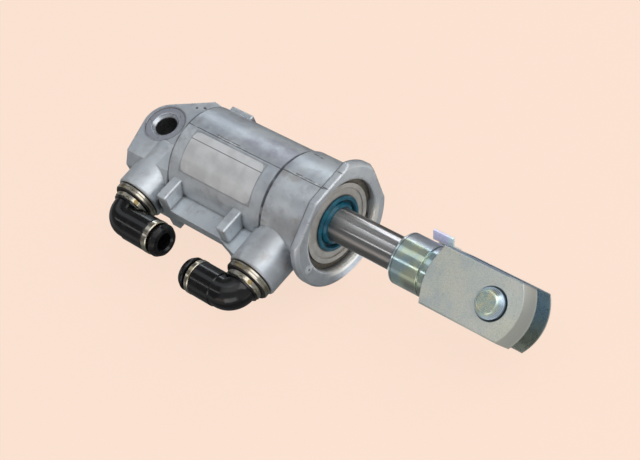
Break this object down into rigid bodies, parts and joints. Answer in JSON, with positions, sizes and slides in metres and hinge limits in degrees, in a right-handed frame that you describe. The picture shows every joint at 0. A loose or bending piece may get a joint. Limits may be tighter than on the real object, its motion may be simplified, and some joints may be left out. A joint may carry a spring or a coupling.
{
  "type": "compact pneumatic cylinder",
  "caption": "Double-acting air cylinder with cast rear eye, swivelling push-in elbow fittings, front flange and rod, and a fork head with clip pin.",
  "frame": {"origin": "centre of the rear eye, at mid thickness of the lug", "axes": "+X along the rod towards the fork head, +Z along the eye's hole, ports on the -Y side"},
  "size_m": [0.1679, 0.0665, 0.0412],
  "materials": {
    "cast": "satin die cast",
    "gland": "matte moulded",
    "seal_black": "matte",
    "bush": "sintered",
    "wiper": "semi-gloss",
    "spring_steel": "phosphated",
    "label": "satin film",
    "nickel": "nickel plated",
    "ptfe": "matte",
    "machined": "turned",
    "steel": "zinc plated",
    "rod_steel": "ground and polished",
    "fork_zinc": "zinc plated, faintly iridescent",
    "pin_zinc": "zinc plated, turned end",
    "clip_zinc": "zinc plated spring sheet",
    "black_plastic": "satin moulded",
    "sleeve": "smooth moulded"
  },
  "bodies": {
    "cylinder": {"body_casting": "cast", "gland": "gland", "gland_oring": "seal_black", "rod_bush": "bush", "rod_seal": "seal_black", "rod_wiper": "wiper", "circlip": "spring_steel", "label_plate": "label", "bumper_rear": "seal_black", "bumper_front": "seal_black", "port_studs": "nickel", "port_seals": "seal_black", "stud_skirts": "seal_black", "swivel_orings": "seal_black"},
    "piston_rings": {"piston_seals": "seal_black", "guide_ring": "ptfe"},
    "rod_assembly": {"piston": "machined", "piston_nut": "steel", "piston_rod": "rod_steel", "fork_head": "fork_zinc"},
    "pin": {"clevis_pin": "pin_zinc"},
    "clip": {"pin_clip": "clip_zinc"},
    "rear_elbow": {"elbow_rear": "black_plastic", "cap_ring_rear": "nickel", "grip_ring_rear": "steel", "tube_oring_rear": "seal_black"},
    "front_elbow": {"elbow_front": "black_plastic", "cap_ring_front": "nickel", "grip_ring_front": "steel", "tube_oring_front": "seal_black"},
    "rear_sleeve": {"release_rear": "sleeve"},
    "front_sleeve": {"release_front": "sleeve"}
  },
  "joints": [
    {"name": "rod_slide", "type": "slide", "parent": "cylinder", "child": "piston_rings", "axis": [1, 0, 0], "range_m": [-0.025, 0]},
    {"name": "rod_spin", "type": "hinge", "parent": "piston_rings", "child": "rod_assembly", "pos_m": [0.053, 0, 0], "axis": [1, 0, 0], "continuous": true},
    {"name": "pin_pull", "type": "slide", "parent": "rod_assembly", "child": "pin", "axis": [0, 0.4602, -0.8878], "range_m": [0, 0.026]},
    {"name": "clip_swing", "type": "hinge", "parent": "pin", "child": "clip", "pos_m": [0.1467, 0, 0], "axis": [0, 0.4602, -0.8878], "range_deg": [0, 120]},
    {"name": "rear_swivel", "type": "hinge", "parent": "cylinder", "child": "rear_elbow", "pos_m": [0.007, -0.0356, 0], "axis": [0, -1, 0], "continuous": true},
    {"name": "front_swivel", "type": "hinge", "parent": "cylinder", "child": "front_elbow", "pos_m": [0.066, -0.0405, 0], "axis": [0, -1, 0], "continuous": true},
    {"name": "rear_release", "type": "slide", "parent": "rear_elbow", "child": "rear_sleeve", "axis": [-1, 0, 0], "range_m": [0, 0.001], "stiffness_N_per_m": 800},
    {"name": "front_release", "type": "slide", "parent": "front_elbow", "child": "front_sleeve", "axis": [1, 0, 0], "range_m": [0, 0.001], "stiffness_N_per_m": 800}
  ]
}
